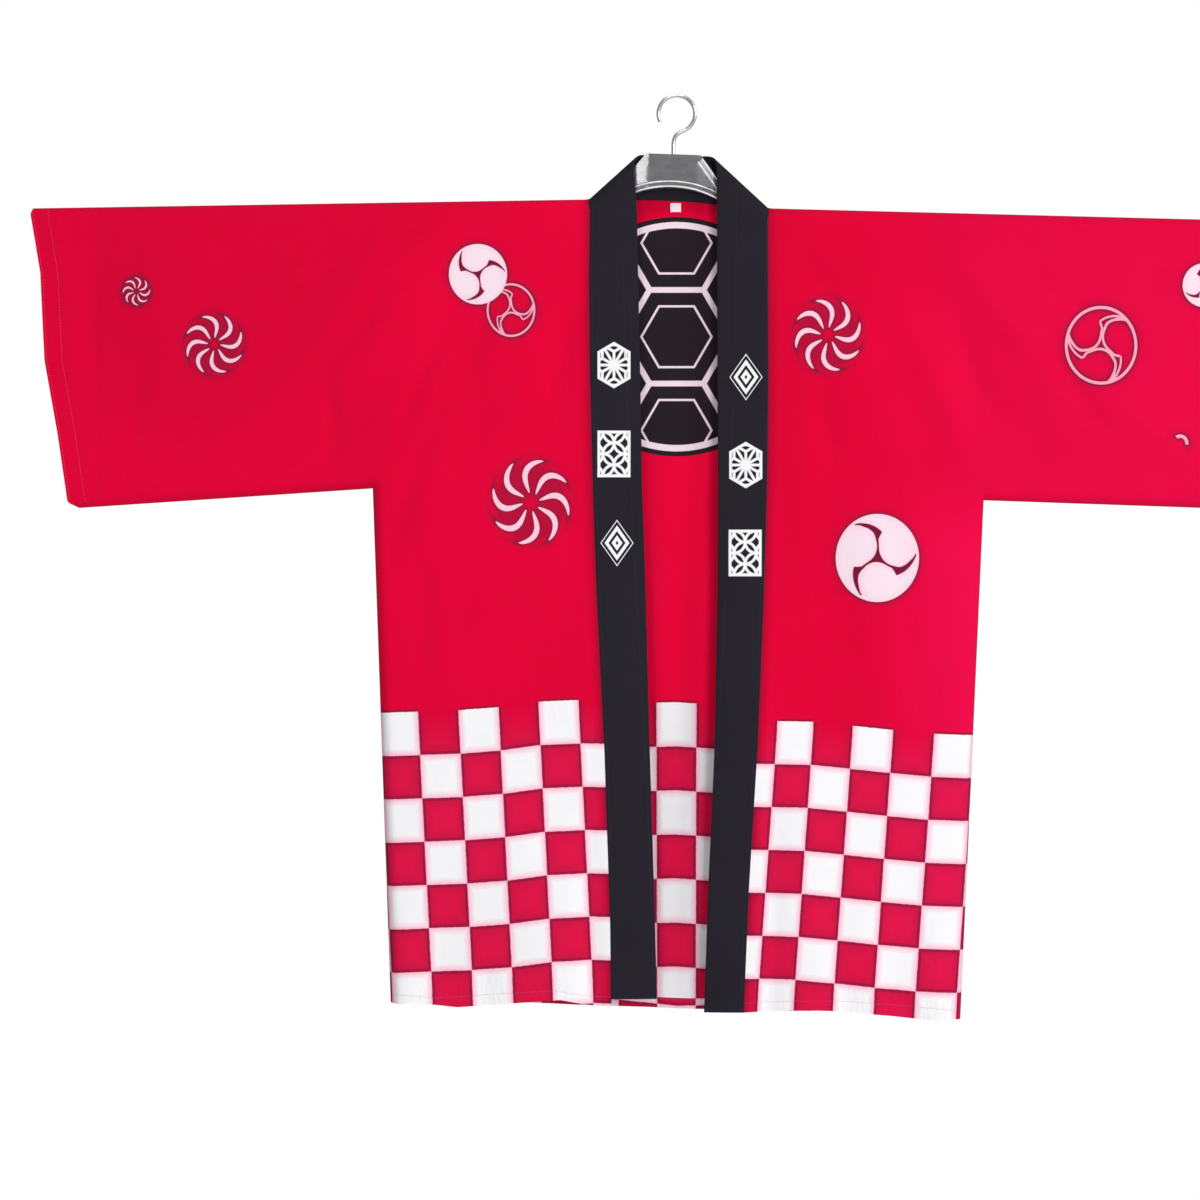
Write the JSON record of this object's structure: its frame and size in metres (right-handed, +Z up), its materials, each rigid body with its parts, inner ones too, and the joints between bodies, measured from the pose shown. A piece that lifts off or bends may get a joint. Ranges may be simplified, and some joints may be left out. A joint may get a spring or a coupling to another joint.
{
  "type": "happi coat on a hanger",
  "caption": "Open-fronted festival happi coat with wide square sleeves, black folded collar band and chequered hem, hung flat on a straight-armed hanger with a wire hook.",
  "frame": {"origin": "the inside of the hook's crown, where a rail carries the hanger", "axes": "+Z up, the coat's front faces -Y, the wearer's left side is at +X"},
  "size_m": [1.3322, 0.0355, 0.956],
  "materials": {
    "red_cotton": "plain woven cotton, matt, white printed hem checks and roundels",
    "black_cotton": "plain woven cotton, matt",
    "white_tab": "smooth woven tape",
    "hanger_plastic": "moulded, glossy",
    "hook_steel": "plated wire"
  },
  "bodies": {
    "root": {"front_right": "red_cotton", "front_left": "red_cotton", "back": "red_cotton", "sleeve_right": "red_cotton", "sleeve_left": "red_cotton", "collar_right": "black_cotton", "collar_left": "black_cotton", "collar_neck": "black_cotton", "label": "white_tab", "hanger_yoke": "hanger_plastic", "hanger_arm_right": "hanger_plastic", "hanger_arm_left": "hanger_plastic", "hanger_hook": "hook_steel"}
  },
  "joints": []
}
